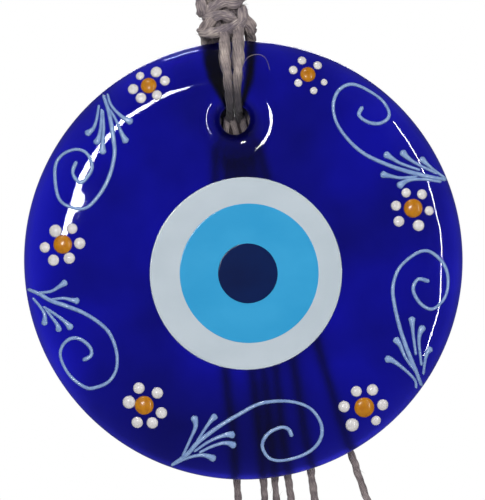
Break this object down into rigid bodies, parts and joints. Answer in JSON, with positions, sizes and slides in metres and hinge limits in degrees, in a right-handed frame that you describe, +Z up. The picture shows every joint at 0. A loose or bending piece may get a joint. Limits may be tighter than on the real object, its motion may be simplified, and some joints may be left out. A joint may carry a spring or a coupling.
{
  "type": "evil eye ornament",
  "caption": "Round flat glass bead with a ringed eye and raised dots and scrolls, held by a cord sling through its hole under a knotted hanger with loose tails.",
  "frame": {"origin": "inside top of the hanging loop, where the nail or hook bears", "axes": "+X to the viewer's right, -Y out of the glass front towards the viewer, +Z up"},
  "size_m": [0.1301, 0.0218, 0.2905],
  "materials": {
    "cobalt_glass": "clear cobalt glass, glossy, slightly cloudy",
    "white_glass": "opaque white poured glass, glossy",
    "light_blue_glass": "opaque light blue poured glass, glossy",
    "dark_glass": "opaque near-black poured glass, glossy",
    "dot_white": "off-white relief enamel, satin gloss",
    "dot_orange": "ochre orange relief enamel, satin gloss",
    "scroll_blue": "pale grey-blue relief enamel, satin gloss",
    "twine": "natural bast-fibre twine, two-ply, hairy"
  },
  "bodies": {
    "hanger": {"hanging_loop": "twine", "loop_wrap": "twine"},
    "braid": {"filler_cords": "twine", "square_knot_1": "twine", "square_knot_2": "twine", "square_knot_3": "twine", "square_knot_4": "twine", "square_knot_5": "twine", "square_knot_6": "twine"},
    "sling": {"front_strand_left": "twine", "front_strand_right": "twine", "back_strands": "twine", "sling_knot": "twine"},
    "disc": {"glass_body": "cobalt_glass", "white_layer": "white_glass", "iris_layer": "light_blue_glass", "pupil_layer": "dark_glass", "daisy_centre_1": "dot_orange", "daisy_centre_2": "dot_orange", "daisy_centre_3": "dot_orange", "daisy_centre_4": "dot_orange", "daisy_centre_5": "dot_orange", "daisy_centre_6": "dot_orange", "daisy_petals_1": "dot_white", "daisy_petals_2": "dot_white", "daisy_petals_3": "dot_white", "daisy_petals_4": "dot_white", "daisy_petals_5": "dot_white", "daisy_petals_6": "dot_white", "scroll_stem_1": "scroll_blue", "scroll_stem_2": "scroll_blue", "scroll_stem_3": "scroll_blue", "scroll_stem_4": "scroll_blue", "scroll_stem_5": "scroll_blue", "scroll_drops_1": "scroll_blue", "scroll_drops_2": "scroll_blue", "scroll_drops_3": "scroll_blue", "scroll_drops_4": "scroll_blue", "scroll_drops_5": "scroll_blue"},
    "tail_1": {"tail_1": "twine", "tail_knot_1": "twine"},
    "tail_2": {"tail_2": "twine", "tail_knot_2": "twine"},
    "tail_3": {"tail_3": "twine", "tail_knot_3": "twine"},
    "tail_4": {"tail_4": "twine", "tail_knot_4": "twine"},
    "tail_5": {"tail_5": "twine", "tail_knot_5": "twine"},
    "tail_6": {"tail_6": "twine", "tail_knot_6": "twine"}
  },
  "joints": [
    {"name": "braid_twist", "type": "hinge", "parent": "hanger", "child": "braid", "pos_m": [0, 0, -0.0337], "axis": [0, 0, 1], "range_deg": [-60, 60], "stiffness_Nm_per_rad": 0.002},
    {"name": "sling_swing", "type": "hinge", "parent": "braid", "child": "sling", "pos_m": [0, 0.00035, -0.0792], "axis": [1, 0, 0], "range_deg": [-12, 12]},
    {"name": "disc_roll", "type": "hinge", "parent": "sling", "child": "disc", "pos_m": [0, 0, -0.1061], "axis": [0, 1, 0], "range_deg": [-15, 15]},
    {"name": "tail_1_swing", "type": "hinge", "parent": "sling", "child": "tail_1", "pos_m": [-0.0065, 0.0096, -0.11343], "axis": [1, 0, 0], "range_deg": [0, 60]},
    {"name": "tail_2_swing", "type": "hinge", "parent": "sling", "child": "tail_2", "pos_m": [-0.0039, 0.0096, -0.11466], "axis": [1, 0, 0], "range_deg": [0, 60]},
    {"name": "tail_3_swing", "type": "hinge", "parent": "sling", "child": "tail_3", "pos_m": [-0.0013, 0.0096, -0.11514], "axis": [1, 0, 0], "range_deg": [0, 60]},
    {"name": "tail_4_swing", "type": "hinge", "parent": "sling", "child": "tail_4", "pos_m": [0.0013, 0.0096, -0.11514], "axis": [1, 0, 0], "range_deg": [0, 60]},
    {"name": "tail_5_swing", "type": "hinge", "parent": "sling", "child": "tail_5", "pos_m": [0.0039, 0.0096, -0.11466], "axis": [1, 0, 0], "range_deg": [0, 60]},
    {"name": "tail_6_swing", "type": "hinge", "parent": "sling", "child": "tail_6", "pos_m": [0.0065, 0.0096, -0.11343], "axis": [1, 0, 0], "range_deg": [0, 60]}
  ]
}
